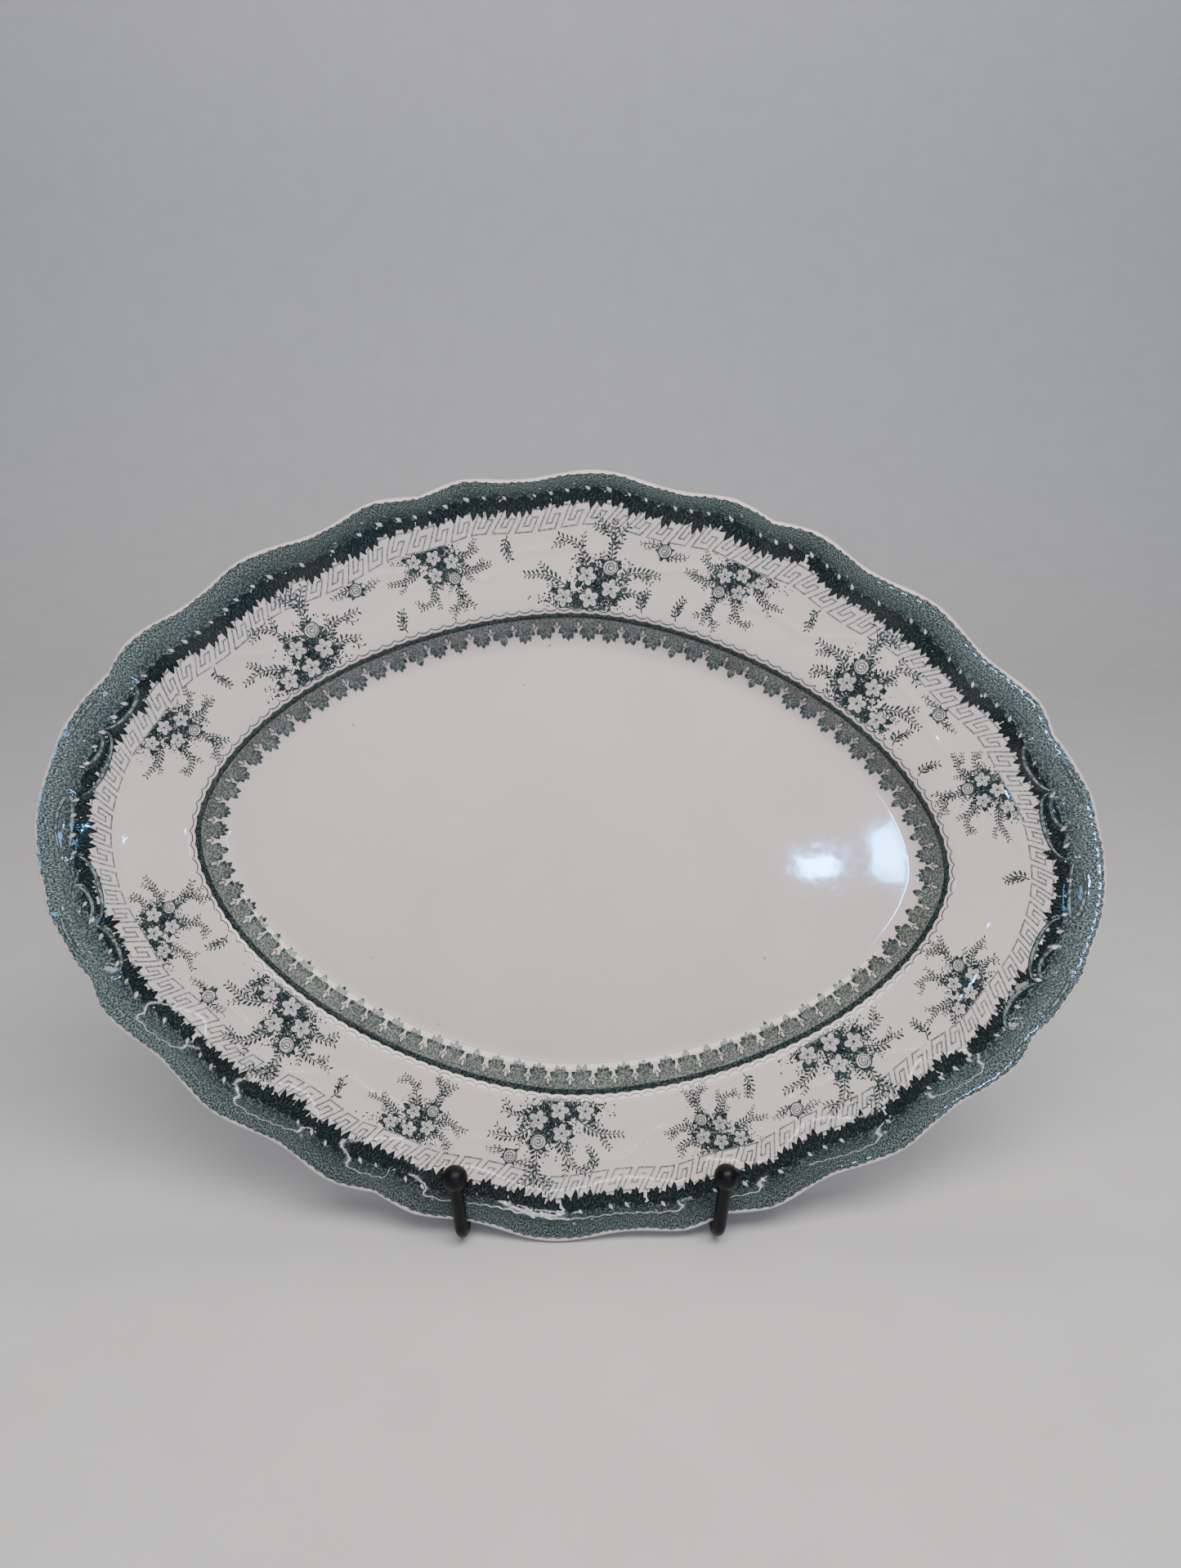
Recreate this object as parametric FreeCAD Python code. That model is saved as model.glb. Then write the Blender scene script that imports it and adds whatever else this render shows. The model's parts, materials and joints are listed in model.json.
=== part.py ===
import FreeCAD, Part
import math
import os

# An oval china serving platter with a lobed rim, leaning on a folding wire display stand.
# The platter is one fired piece: a flat well, a concave well wall, a rising flange that rolls
# over at the rim, and a low oval foot ring. The stand is bent round steel wire: an inverted U
# frame with two hooks, cross bars, and a rear prop leg that folds about a hinge bar.
# Lengths are millimetres and angles are degrees. +Z is up and the platter faces -Y.

Vector = FreeCAD.Vector

# Platter plan: the rim is an ellipse with shallow lobes, the well line a slightly pointed oval.
PLATTER_LENGTH = 356.0
PLATTER_WIDTH = 256.0
WELL_LENGTH = 256.0
WELL_WIDTH = 163.0
WELL_EXPONENT = 1.75

# How steeply the outline runs into a notch: one is a straight run, more is a rounder shoulder.
NOTCH_EASE = 1.25

# Rim lobes over one quadrant: angle from the long axis, inset from the ellipse, and whether
# the outline turns smoothly there or comes to a sharp notch.
RIM_LOBES = (
    (0.0, 0.1, "smooth"),
    (7.6, 1.7, "notch"),
    (9.6, 1.5, "smooth"),
    (18.0, 5.8, "notch"),
    (21.5, 4.0, "smooth"),
    (30.0, 8.5, "smooth"),
    (38.5, 5.9, "smooth"),
    (47.0, 8.3, "smooth"),
    (57.5, 3.9, "smooth"),
    (63.0, 5.5, "notch"),
    (69.5, 2.1, "smooth"),
    (77.5, 3.5, "smooth"),
    (90.0, 0.0, "smooth"),
)

# Platter profiles: place across the section and height above the well floor. A negative place
# is millimetres inside the well line; zero to one is the share of the flange from the well line
# to the rim.
FRONT_PROFILE = (
    (-11.0, 0.0),
    (-8.5, 0.35),
    (-6.0, 1.5),
    (-3.5, 3.9),
    (-1.2, 7.1),
    (0.0, 8.6),
    (0.05, 10.2),
    (0.12, 11.2),
    (0.30, 12.9),
    (0.50, 15.2),
    (0.66, 17.6),
    (0.80, 20.2),
    (0.90, 21.8),
    (0.96, 22.2),
)
LIP_PROFILE = (
    (0.96, 22.2),
    (0.989, 21.6),
    (1.0, 20.2),
    (0.989, 18.7),
    (0.96, 17.9),
)
BACK_PROFILE = (
    (0.96, 17.9),
    (0.90, 17.2),
    (0.80, 15.5),
    (0.66, 13.0),
    (0.50, 10.8),
    (0.30, 8.6),
    (0.16, 7.3),
    (0.05, 4.7),
    (0.0, 1.6),
    (-3.4, -2.1),
    (-7.0, -3.9),
    (-9.5, -4.4),
)
FOOT_OUTER_PLACE = -10.2
FOOT_INNER_PLACE = -14.5
RECESS_PLACE = -15.1
FOOT_DEPTH = -7.0
RECESS_DEPTH = -4.5
SECTION_STEP = 2.0

# How the platter stands: it leans back and its right end hangs a little lower.
LEAN = 15.2
ROLL = -3.72
PLATTER_GAP = 0.25

# Stand: round wire, with its centre line a little to the right of the platter's. Places on it
# are given along the leaning back of the platter, from its centre, and behind its foot ring.
WIRE_RADIUS = 2.2
STAND_OFFSET = 5.3
UPRIGHT_SPACING = 84.2
UPRIGHT_BEHIND = PLATTER_GAP + WIRE_RADIUS
FRAME_TOP = 88.0
FRAME_BEND = 14.0
FOOT_TRIM = 6.0

# Hooks: an arm runs forward under the rim, then bends up into a prong with a ball on its end.
ARM_HEIGHT = 4.6
ARM_GAP = 0.15
PRONG_GAP = 0.5
HOOK_BEND = 5.0
PRONG_RISE = 23.8
PRONG_SPLAY = 4.0
PRONG_FORWARD = 6.0
BALL_RADIUS = 4.2

# Cross bars are welded behind the uprights, sunk by the weld's depth.
WELD_DEPTH = 0.15
BAR_BEHIND = UPRIGHT_BEHIND + 2 * WIRE_RADIUS - WELD_DEPTH
BAR_OVERHANG = 3.0
LOWER_BAR_ALONG = -95.0
HINGE_BAR_ALONG = 45.0
STOP_BAR_ALONG = 66.0

# Prop leg: a U of thinner wire with an eye round the hinge bar at each end. A tang above each
# eye bears on the stop bar when the leg is open.
PROP_WIRE_RADIUS = 2.0
PROP_OPENING = 40.0
PROP_SIDE_GAP = 0.5
PROP_SPACING = UPRIGHT_SPACING - 2 * (WIRE_RADIUS + PROP_WIRE_RADIUS + PROP_SIDE_GAP)
PROP_BEND = 12.0
RUNNING_CLEARANCE = 0.07
TANG_LENGTH = 27.0

LEAN_SINE = math.sin(math.radians(LEAN))
LEAN_COSINE = math.cos(math.radians(LEAN))
UP_THE_LEAN = Vector(0, LEAN_SINE, LEAN_COSINE)
OUT_OF_FACE = Vector(0, -LEAN_COSINE, LEAN_SINE)
LIP_HEIGHT = LIP_PROFILE[2][1]
SIDES = {"left": -1, "right": 1}


def rim_inset(angle):
    """Inset of the lobed outline from the rim ellipse at a polar angle."""
    quadrant_angle = math.degrees(math.asin(abs(math.sin(math.radians(angle)))))
    for (start, start_inset, start_kind), (end, end_inset, end_kind) in zip(RIM_LOBES, RIM_LOBES[1:]):
        if quadrant_angle <= end:
            share = (quadrant_angle - start) / (end - start)
            if start_kind == "notch":
                ease = 1 - (1 - share) ** NOTCH_EASE
            elif end_kind == "notch":
                ease = share ** NOTCH_EASE
            else:
                ease = 0.5 - 0.5 * math.cos(math.pi * share)
            return start_inset + (end_inset - start_inset) * ease
    return RIM_LOBES[-1][1]


def oval_radius(angle, length, width, exponent):
    """Polar radius of a superellipse; an exponent of two is an ellipse."""
    along = abs(math.cos(math.radians(angle))) * 2 / length
    across = abs(math.sin(math.radians(angle))) * 2 / width
    return (along ** exponent + across ** exponent) ** (-1 / exponent)


def section_radius(angle, place):
    """Polar radius of the section at a profile place."""
    well = oval_radius(angle, WELL_LENGTH, WELL_WIDTH, WELL_EXPONENT)
    if place <= 0:
        return well + place
    rim = oval_radius(angle, PLATTER_LENGTH, PLATTER_WIDTH, 2) - rim_inset(angle)
    return well + place * (rim - well)


def section_curve(place, height):
    """Closed smooth curve round the platter at one place of its profile."""
    points = []
    for step in range(int(360 / SECTION_STEP)):
        angle = step * SECTION_STEP
        radius = section_radius(angle, place)
        x = radius * math.cos(math.radians(angle))
        y = radius * math.sin(math.radians(angle))
        points.append(Vector(x, y, height))
    even_parameters = list(range(len(points) + 1))
    curve = Part.BSplineCurve()
    curve.interpolate(Points=points, PeriodicFlag=True, Parameters=even_parameters)
    return Part.Wire([curve.toShape()])


def lofted(profile, ruled=False):
    """Skin through the sections of one profile."""
    wires = [section_curve(place, height) for place, height in profile]
    return Part.makeLoft(wires, False, ruled)


def make_platter():
    """The china body, face up with the centre of its well floor at the origin."""
    front = lofted(FRONT_PROFILE)
    lip = lofted(LIP_PROFILE)
    back = lofted(BACK_PROFILE)
    foot_outer = lofted((BACK_PROFILE[-1], (FOOT_OUTER_PLACE, FOOT_DEPTH)), True)
    foot_inner = lofted(((FOOT_INNER_PLACE, FOOT_DEPTH), (RECESS_PLACE, RECESS_DEPTH)), True)
    floor_face = Part.Face(section_curve(*FRONT_PROFILE[0]))
    recess_face = Part.Face(section_curve(RECESS_PLACE, RECESS_DEPTH))
    foot_disc = Part.Face(section_curve(FOOT_OUTER_PLACE, FOOT_DEPTH))
    foot_face = foot_disc.cut(Part.Face(section_curve(FOOT_INNER_PLACE, FOOT_DEPTH)))
    faces = []
    for skin in (front, lip, back, foot_outer, foot_inner, floor_face, recess_face, foot_face):
        faces.extend(skin.Faces)
    shell = Part.makeShell(faces)
    shell.sewShape()
    return Part.Solid(shell)


def rim_drop(x):
    """How far the lowest rim at a place across is below the platter's centre, along the lean."""
    drops = []
    for step in range(1800, 3600):
        angle = step / 10
        turned = math.radians(angle + ROLL)
        radius = section_radius(angle, 1.0)
        if abs(radius * math.cos(turned) - x) < WIRE_RADIUS / 2:
            drops.append(-radius * math.sin(turned))
    return max(drops)


def upright_x(side):
    """Place across of an upright; side is -1 at the left and 1 at the right."""
    return STAND_OFFSET + side * UPRIGHT_SPACING / 2


def platter_height():
    """Height of the well floor's centre when the rim rests just clear of the hook arms."""
    deepest_rim = max(rim_drop(upright_x(side)) for side in SIDES.values())
    arm_top = ARM_HEIGHT + WIRE_RADIUS
    return arm_top + ARM_GAP + deepest_rim * LEAN_COSINE - LIP_HEIGHT * LEAN_SINE


WELL_CENTRE = Vector(0, 0, platter_height())
FOOT_CENTRE = WELL_CENTRE + OUT_OF_FACE * FOOT_DEPTH


def lean_point(x, along, behind):
    """World point from its place across, up the lean and behind the foot ring."""
    return FOOT_CENTRE + Vector(x, 0, 0) + UP_THE_LEAN * along - OUT_OF_FACE * behind


def upright_along(height):
    """Place along the lean where an upright's centre line is at a height above the table."""
    return (height - FOOT_CENTRE.z + UPRIGHT_BEHIND * LEAN_SINE) / LEAN_COSINE


def bent_wire(points, bend_radius, wire_radius):
    """Round wire through straight runs joined by bends of one radius."""
    edges = []
    start = points[0]
    for before, corner, after in zip(points, points[1:], points[2:]):
        back = (before - corner).normalize()
        onward = (after - corner).normalize()
        half_angle = back.getAngle(onward) / 2
        setback = bend_radius / math.tan(half_angle)
        bisector = (back + onward).normalize()
        bend_start = corner + back * setback
        bend_end = corner + onward * setback
        bend_middle = corner + bisector * (bend_radius / math.sin(half_angle) - bend_radius)
        edges.append(Part.LineSegment(start, bend_start).toShape())
        edges.append(Part.Arc(bend_start, bend_middle, bend_end).toShape())
        start = bend_end
    edges.append(Part.LineSegment(start, points[-1]).toShape())
    first_direction = (points[1] - points[0]).normalize()
    section = Part.Wire([Part.makeCircle(wire_radius, points[0], first_direction)])
    return Part.Wire(edges).makePipeShell([section], True, False)


def straight_wire(start, end, wire_radius):
    """Round wire along one straight run."""
    run = end - start
    return Part.makeCylinder(wire_radius, run.Length, start, run)


def place_platter(platter):
    """Stand the platter up: turn it in its own plane, then tilt it back."""
    turn = FreeCAD.Rotation(Vector(0, 0, 1), ROLL)
    tilt = FreeCAD.Rotation(Vector(1, 0, 0), 90 - LEAN)
    placed = platter.copy()
    placed.Placement = FreeCAD.Placement(WELL_CENTRE, tilt * turn)
    return placed


def make_front_frame():
    """Inverted U whose legs are trimmed flat on the table."""
    foot_along = upright_along(0) - FOOT_TRIM
    left = upright_x(-1)
    right = upright_x(1)
    points = [
        lean_point(left, foot_along, UPRIGHT_BEHIND),
        lean_point(left, FRAME_TOP, UPRIGHT_BEHIND),
        lean_point(right, FRAME_TOP, UPRIGHT_BEHIND),
        lean_point(right, foot_along, UPRIGHT_BEHIND),
    ]
    wire = bent_wire(points, FRAME_BEND, WIRE_RADIUS)
    reach = PLATTER_LENGTH
    below_table = Part.makeBox(reach, reach, reach, Vector(-reach / 2, -reach / 2, -reach))
    return wire.cut(below_table)


def prong_foot(side):
    """Corner where a hook's arm turns up in front of the rim."""
    x = upright_x(side)
    rim_along = -rim_drop(x)
    rim_top = max(height for place, height in FRONT_PROFILE)
    rim_front = WELL_CENTRE + UP_THE_LEAN * rim_along + OUT_OF_FACE * rim_top
    return Vector(x, rim_front.y - PRONG_GAP - WIRE_RADIUS, ARM_HEIGHT)


def prong_top(side):
    """Centre of a hook's ball."""
    foot = prong_foot(side)
    across = side * PRONG_RISE * math.tan(math.radians(PRONG_SPLAY))
    forward = PRONG_RISE * math.tan(math.radians(PRONG_FORWARD))
    return foot + Vector(across, -forward, PRONG_RISE)


def make_hook(side, frame):
    """Arm and prong in one bent wire, its rear end shaped to the upright it is welded to."""
    x = upright_x(side)
    joint = lean_point(x, upright_along(ARM_HEIGHT), UPRIGHT_BEHIND)
    prong = prong_top(side) - prong_foot(side)
    flat_depth = math.sqrt(BALL_RADIUS ** 2 - WIRE_RADIUS ** 2)
    prong_end = prong_foot(side) + prong * (1 - flat_depth / prong.Length)
    return bent_wire([joint, prong_foot(side), prong_end], HOOK_BEND, WIRE_RADIUS).cut(frame)


def make_ball(side):
    """Ball tip with a small flat, as wide as the wire, that the prong's end is welded to."""
    prong = prong_top(side) - prong_foot(side)
    flat_latitude = -math.degrees(math.acos(WIRE_RADIUS / BALL_RADIUS))
    return Part.makeSphere(BALL_RADIUS, prong_top(side), prong, flat_latitude, 90, 360)


def make_crossbar(along, frame):
    """Straight bar welded across the back of both uprights."""
    reach = UPRIGHT_SPACING / 2 + BAR_OVERHANG
    start = lean_point(STAND_OFFSET - reach, along, BAR_BEHIND)
    end = lean_point(STAND_OFFSET + reach, along, BAR_BEHIND)
    return straight_wire(start, end, WIRE_RADIUS).cut(frame)


def lean_direction(angle):
    """Direction at an angle from straight up the lean, turning towards the rear."""
    return UP_THE_LEAN * math.cos(math.radians(angle)) - OUT_OF_FACE * math.sin(math.radians(angle))


def make_prop_leg():
    """U leg, two eyes and two tangs in one bent wire."""
    eye_radius = WIRE_RADIUS + RUNNING_CLEARANCE + PROP_WIRE_RADIUS
    leg_direction = lean_direction(180 - PROP_OPENING)
    tang_angle = math.degrees(math.asin(eye_radius / (STOP_BAR_ALONG - HINGE_BAR_ALONG)))
    tang_direction = lean_direction(tang_angle)
    tops = []
    knees = []
    eyes_and_tangs = []
    for side in SIDES.values():
        x = STAND_OFFSET + side * PROP_SPACING / 2
        hinge = lean_point(x, HINGE_BAR_ALONG, BAR_BEHIND)
        leg_length = (hinge.z - PROP_WIRE_RADIUS) / -leg_direction.z
        tops.append(hinge + leg_direction * eye_radius)
        knees.append(hinge + leg_direction * leg_length)
        eyes_and_tangs.append(Part.makeTorus(eye_radius, PROP_WIRE_RADIUS, hinge, Vector(1, 0, 0)))
        tang_start = hinge + tang_direction * eye_radius
        tang_end = hinge + tang_direction * TANG_LENGTH
        eyes_and_tangs.append(straight_wire(tang_start, tang_end, PROP_WIRE_RADIUS))
    leg = bent_wire([tops[0], knees[0], knees[1], tops[1]], PROP_BEND, PROP_WIRE_RADIUS)
    return leg.multiFuse(eyes_and_tangs)


def make_parts():
    """Every piece by node name, with the assembly centred front to back on the frame."""
    frame = make_front_frame()
    parts = {
        "platter": place_platter(make_platter()),
        "front_frame": frame,
        "lower_crossbar": make_crossbar(LOWER_BAR_ALONG, frame),
        "hinge_bar": make_crossbar(HINGE_BAR_ALONG, frame),
        "stop_bar": make_crossbar(STOP_BAR_ALONG, frame),
        "prop_leg": make_prop_leg(),
    }
    for name, side in SIDES.items():
        parts[name + "_hook"] = make_hook(side, frame)
        parts[name + "_hook_ball"] = make_ball(side)
    front = parts["left_hook_ball"].BoundBox.YMin
    rear = parts["prop_leg"].BoundBox.YMax
    centring = Vector(0, -(front + rear) / 2, 0)
    for shape in parts.values():
        shape.translate(centring)
    return parts, centring


os.makedirs("parts", exist_ok=True)
shapes, shift = make_parts()
for node, shape in shapes.items():
    shape.exportStep(f"parts/{node}.step")
    print(node, len(shape.Solids), "solid, valid:", shape.isValid(), "volume:", round(shape.Volume))
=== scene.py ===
import json
import math
import random

import bpy
import numpy as np
from mathutils import Matrix, Vector


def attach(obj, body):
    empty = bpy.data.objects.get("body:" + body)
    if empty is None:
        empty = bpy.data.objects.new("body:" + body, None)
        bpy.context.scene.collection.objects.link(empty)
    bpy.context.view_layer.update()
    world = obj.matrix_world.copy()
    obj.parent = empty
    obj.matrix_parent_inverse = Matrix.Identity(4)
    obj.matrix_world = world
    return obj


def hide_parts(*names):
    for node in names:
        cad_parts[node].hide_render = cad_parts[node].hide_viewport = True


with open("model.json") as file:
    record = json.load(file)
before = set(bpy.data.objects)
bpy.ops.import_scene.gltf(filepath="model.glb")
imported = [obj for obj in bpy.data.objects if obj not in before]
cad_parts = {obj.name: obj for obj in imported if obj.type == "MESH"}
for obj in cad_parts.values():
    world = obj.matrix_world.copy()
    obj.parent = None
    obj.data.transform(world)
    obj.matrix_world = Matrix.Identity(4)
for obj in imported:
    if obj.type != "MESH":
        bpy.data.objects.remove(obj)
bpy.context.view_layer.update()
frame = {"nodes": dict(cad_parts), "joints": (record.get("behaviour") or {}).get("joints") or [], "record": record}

# Looks of an oval transfer-printed platter leaning on a black wire display stand.
# Blender's lengths are metres. The platter's own plan is worked out in millimetres, face up,
# with the centre of its well floor at zero, and is then placed by the frame.

MM = 0.001

# Platter plan and profiles, as in the design.
PLATTER_LENGTH = 356.0
PLATTER_WIDTH = 256.0
WELL_LENGTH = 256.0
WELL_WIDTH = 163.0
WELL_EXPONENT = 1.75
NOTCH_EASE = 1.25

# Degrees that the platter is turned in its own plane.
ROLL = -3.72

# One quadrant of the lobed rim: polar angle, inset from the ellipse and kind of point.
RIM_LOBES = (
    (0.0, 0.1, "smooth"),
    (7.6, 1.7, "notch"),
    (9.6, 1.5, "smooth"),
    (18.0, 5.8, "notch"),
    (21.5, 4.0, "smooth"),
    (30.0, 8.5, "smooth"),
    (38.5, 5.9, "smooth"),
    (47.0, 8.3, "smooth"),
    (57.5, 3.9, "smooth"),
    (63.0, 5.5, "notch"),
    (69.5, 2.1, "smooth"),
    (77.5, 3.5, "smooth"),
    (90.0, 0.0, "smooth"),
)

# Profiles as place and height. A place is the share of the flange from the well line to the
# rim, or, at zero and below, millimetres inside the well line.
WALL_FOOT = -11.0
LIP_START = 0.96
UNDERSIDE_END = -9.5
FLANGE_SPAN = 48.0
FRONT_PROFILE = (
    (WALL_FOOT, 0.0),
    (-8.5, 0.35),
    (-6.0, 1.5),
    (-3.5, 3.9),
    (-1.2, 7.1),
    (0.0, 8.6),
    (0.05, 10.2),
    (0.12, 11.2),
    (0.30, 12.9),
    (0.50, 15.2),
    (0.66, 17.6),
    (0.80, 20.2),
    (0.90, 21.8),
    (LIP_START, 22.2),
)
LIP_PROFILE = (
    (LIP_START, 22.2),
    (0.978, 22.1),
    (0.992, 21.5),
    (0.999, 20.8),
    (1.0, 20.1),
    (0.998, 19.3),
    (0.990, 18.6),
    (0.978, 18.1),
    (LIP_START, 17.9),
)
BACK_PROFILE = (
    (LIP_START, 17.9),
    (0.90, 17.2),
    (0.80, 15.5),
    (0.66, 13.0),
    (0.50, 10.8),
    (0.30, 8.6),
    (0.16, 7.3),
    (0.05, 4.7),
    (0.0, 1.6),
    (-3.4, -2.1),
    (-7.0, -3.9),
    (UNDERSIDE_END, -4.4),
)
RECESS_PLACE = -15.1
RECESS_HEIGHT = -4.5
FOOT_PROFILE = (
    (-10.0, -6.3),
    (-10.2, -6.8),
    (-10.6, -7.0),
    (-14.1, -7.0),
    (-14.5, -6.8),
    (-14.8, -6.2),
    (-15.3, RECESS_HEIGHT),
)

RANDOM_SEED = 7
dice = random.Random(RANDOM_SEED)


# ---------------------------------------------------------------- platter shape

def rim_inset(angles):
    """Inset of the lobed outline from the rim ellipse at polar angles in degrees."""
    folded = np.degrees(np.arcsin(np.clip(np.abs(np.sin(np.radians(angles))), 0, 1)))
    result = np.zeros_like(folded)
    for (start, start_inset, start_kind), (end, end_inset, end_kind) in zip(RIM_LOBES, RIM_LOBES[1:]):
        inside = (folded >= start) & (folded <= end)
        share = (folded[inside] - start) / (end - start)
        if start_kind == "notch":
            ease = 1 - (1 - share) ** NOTCH_EASE
        elif end_kind == "notch":
            ease = share ** NOTCH_EASE
        else:
            ease = 0.5 - 0.5 * np.cos(np.pi * share)
        result[inside] = start_inset + (end_inset - start_inset) * ease
    return result


def oval_radius(angles, length, width, exponent):
    """Polar radius of a superellipse; an exponent of two is an ellipse."""
    along = np.abs(np.cos(np.radians(angles))) * 2 / length
    across = np.abs(np.sin(np.radians(angles))) * 2 / width
    return (along ** exponent + across ** exponent) ** (-1 / exponent)


def closed_blur(values, width):
    """Gaussian blur of a closed table, its width given in samples."""
    offsets = np.arange(-3 * int(width), 3 * int(width) + 1)
    weights = np.exp(-0.5 * (offsets / width) ** 2)
    weights /= weights.sum()
    return sum(weight * np.roll(values, offset) for weight, offset in zip(weights, offsets))


TABLE_SIZE = 7200
ANGLES = np.arange(TABLE_SIZE) * 360 / TABLE_SIZE
CLOSED_ANGLES = np.append(ANGLES, 360)
RIM_RADIUS = oval_radius(ANGLES, PLATTER_LENGTH, PLATTER_WIDTH, 2) - rim_inset(ANGLES)
WELL_RADIUS = oval_radius(ANGLES, WELL_LENGTH, WELL_WIDTH, WELL_EXPONENT)


def look_up(table, angles):
    """A closed table's value at polar angles in degrees."""
    return np.interp(np.mod(angles, 360), CLOSED_ANGLES, np.append(table, table[0]))


def polar(x, y):
    """Polar angles in degrees and radii of plan points."""
    return np.degrees(np.arctan2(y, x)), np.hypot(x, y)


def place_radius(angles, place):
    """Polar radius at a profile place."""
    well = look_up(WELL_RADIUS, angles)
    rim = look_up(RIM_RADIUS, angles)
    return np.where(place <= 0, well + place, well + place * (rim - well))


def flange_scale(places):
    """Profile places on one scale: the flange share, running on inside the well."""
    places = np.asarray(places, float)
    return np.where(places > 0, places, places / FLANGE_SPAN)


def profile_curve(profile):
    """Knots of a profile, on the flange scale, and their heights."""
    places, heights = np.transpose(profile)
    return flange_scale(places), heights


def cubic(knots, values, slopes, at):
    """Smooth curve of values or points through knots with known slopes."""
    index = np.clip(np.searchsorted(knots, at) - 1, 0, len(knots) - 2)
    span = knots[index + 1] - knots[index]
    share = np.clip((at - knots[index]) / span, 0, 1)
    if values.ndim == 2:
        span = span[:, None]
        share = share[:, None]
    rise = values[index + 1] - values[index]
    start = slopes[index] * span
    end = slopes[index + 1] * span
    bend = (3 * rise - 2 * start - end) * share ** 2
    twist = (start + end - 2 * rise) * share ** 3
    return values[index] + start * share + bend + twist


def profile_height(knots, heights, at):
    """Height of a profile, level at both ends, at places on the flange scale."""
    slopes = np.gradient(heights, knots)
    slopes[0] = 0
    slopes[-1] = 0
    return cubic(knots, heights, slopes, at)


FRONT_KNOTS, FRONT_HEIGHTS = profile_curve(FRONT_PROFILE)
BACK_KNOTS, BACK_HEIGHTS = profile_curve(BACK_PROFILE[::-1])


def unified_place(x, y):
    """Flange share of a plan point, running on inside the well."""
    angles, radius = polar(x, y)
    well = look_up(WELL_RADIUS, angles)
    rim = look_up(RIM_RADIUS, angles)
    return np.where(radius < well, (radius - well) / FLANGE_SPAN, (radius - well) / (rim - well))


# Depth in millimetres at which a border's lines have lost the outline's sharp turns.
SOFTENING_DEPTH = 14


class Border:
    """Strip coordinates along a closed outline: millimetres along it and inwards from it."""

    def __init__(self, radii, softness, reference):
        """Softness is the blur in samples; lengths along are true at the reference depth."""
        soft = closed_blur(radii, softness)
        turn = np.radians(ANGLES)
        self.sharp = np.stack([radii * np.cos(turn), radii * np.sin(turn)], 1)
        self.soft = np.stack([soft * np.cos(turn), soft * np.sin(turn)], 1)
        tangent = np.roll(self.soft, -4, 0) - np.roll(self.soft, 4, 0)
        tangent /= np.linalg.norm(tangent, axis=1)[:, None]
        self.inward = np.stack([-tangent[:, 1], tangent[:, 0]], 1)
        middle = self.soft + self.inward * reference
        steps = np.linalg.norm(np.roll(middle, -1, 0) - middle, axis=1)
        self.along = np.concatenate([[0], np.cumsum(steps)])
        self.length = self.along[-1]

    def at_angle(self, angle):
        """Millimetres along at polar angles in degrees."""
        return np.interp(np.mod(angle, 360), CLOSED_ANGLES, self.along)

    def plan(self, along, inward):
        """Plan points; the outline's sharp turns soften with distance inwards."""
        along = np.mod(np.asarray(along, float), self.length)
        inward = np.asarray(inward, float)
        sample = np.interp(along, self.along, np.arange(TABLE_SIZE + 1))

        def read(table):
            """A closed table of points at the samples."""
            ring = np.concatenate([table, table[:1]])
            columns = [np.interp(sample, np.arange(TABLE_SIZE + 1), ring[:, axis]) for axis in (0, 1)]
            return np.stack(columns, -1)

        soften = np.clip(np.abs(inward) / SOFTENING_DEPTH, 0, 1)[..., None]
        base = read(self.sharp) * (1 - soften) + read(self.soft) * soften
        return base + read(self.inward) * inward[..., None]


RIM_SOFTNESS = 50
WELL_SOFTNESS = 40
RIM_REFERENCE = 14
WELL_REFERENCE = 2
RIM = Border(RIM_RADIUS, RIM_SOFTNESS, RIM_REFERENCE)
WELL = Border(WELL_RADIUS, WELL_SOFTNESS, WELL_REFERENCE)


# Low relief moulded in the clay, from the edge of the well to the lip: scrolls near both ends,
# a wandering bead half-way up the flange and faint flutes beside the lip. Starts, ends, fades and
# swings are flange shares, and the other measures are millimetres.

RELIEF_START = 0.02
SCROLL_HEIGHT = 0.4
SCROLL_WIDTH = 0.7
BEAD_HEIGHT = 0.3
BEAD_WIDTH = 0.9
BEAD_PLACE = 0.42
BEAD_SWINGS = ((0.09, 12, 0), (0.03, 28, 1))
FLUTE_HEIGHT = 0.03
FLUTE_PITCH = 4.6
FLUTE_START = 0.84
FLUTE_END = 0.985
FLUTE_FADE_IN = 0.06
FLUTE_FADE_OUT = 0.04
SCROLL_START = 0.4
SCROLL_X = 140
CARTOUCHE_ANGLES = (0.0, 180.0)


def arc_points(centre, radii, start, end, count=20):
    """Points along an elliptical arc."""
    turns = np.radians(np.linspace(start, end, count))
    return np.stack([centre[0] + radii[0] * np.cos(turns), centre[1] + radii[1] * np.sin(turns)], 1)


def cartouche_strokes():
    """Scrolls at one end: a lens between paired, curled strokes, in strip coordinates."""
    strokes = [arc_points((0, 9.5), (9, 2.2), 0, 360, 32)]
    for side in (-1, 1):
        strokes.append(arc_points((side * 21, 12.5), (side * 11, 4.6), 170, -20))
        strokes.append(arc_points((side * 25, 11.2), (side * 5.0, 2.4), 200, -60))
        strokes.append(arc_points((side * 41, 10.0), (side * 9, 4.0), 160, -40))
        strokes.append(arc_points((side * 33, 5.4), (side * 8, 1.8), 200, 340))
    return strokes


def scrolls_in_plan(angle):
    """Plan polylines of the scrolls at one end."""
    middle = RIM.at_angle(angle)
    return [RIM.plan(middle + stroke[:, 0], stroke[:, 1]) for stroke in cartouche_strokes()]


SCROLLS = [scrolls_in_plan(angle) for angle in CARTOUCHE_ANGLES]


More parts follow.
